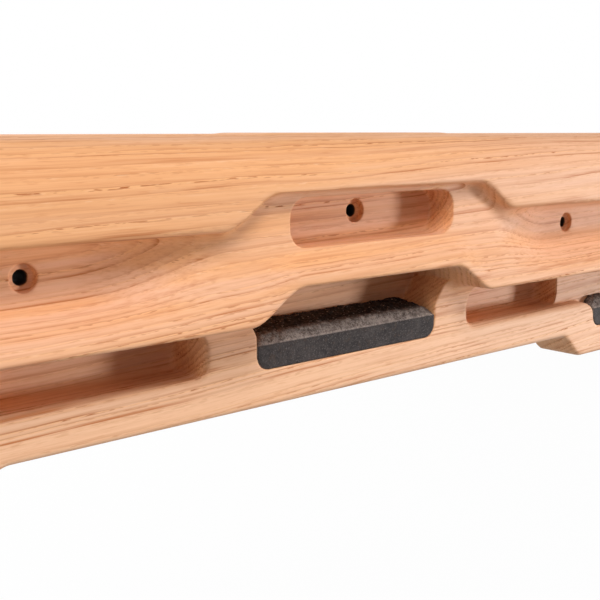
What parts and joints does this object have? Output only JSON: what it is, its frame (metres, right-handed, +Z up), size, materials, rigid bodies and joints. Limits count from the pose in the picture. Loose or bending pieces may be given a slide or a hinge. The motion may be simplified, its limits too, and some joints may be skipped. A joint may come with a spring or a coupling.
{
  "type": "hangboard",
  "caption": "Wall-mounted hardwood climbing hangboard with a sloping top edge, an upper groove and finger pocket, a lower row of deep pockets, and rough stone edges bonded into seats.",
  "frame": {"origin": "centre of the flat back face, half way along the board and half way between its top and its lowest edge", "axes": "+X along the board to the user's right, +Y out of the back into the wall, +Z up; the holds face -Y"},
  "size_m": [0.64, 0.062, 0.151],
  "materials": {
    "hardwood": "ring-porous hardwood, sanded smooth, satin oil",
    "split_stone": "dark fine-grained stone, honed front and chamfer, split rough top",
    "adhesive": "cured resin adhesive, hidden under the stone"
  },
  "bodies": {
    "root": {"board_body": "hardwood", "centre_stone": "split_stone", "centre_stone_adhesive": "adhesive", "left_stone": "split_stone", "left_stone_adhesive": "adhesive", "right_stone": "split_stone", "right_stone_adhesive": "adhesive"}
  },
  "joints": []
}
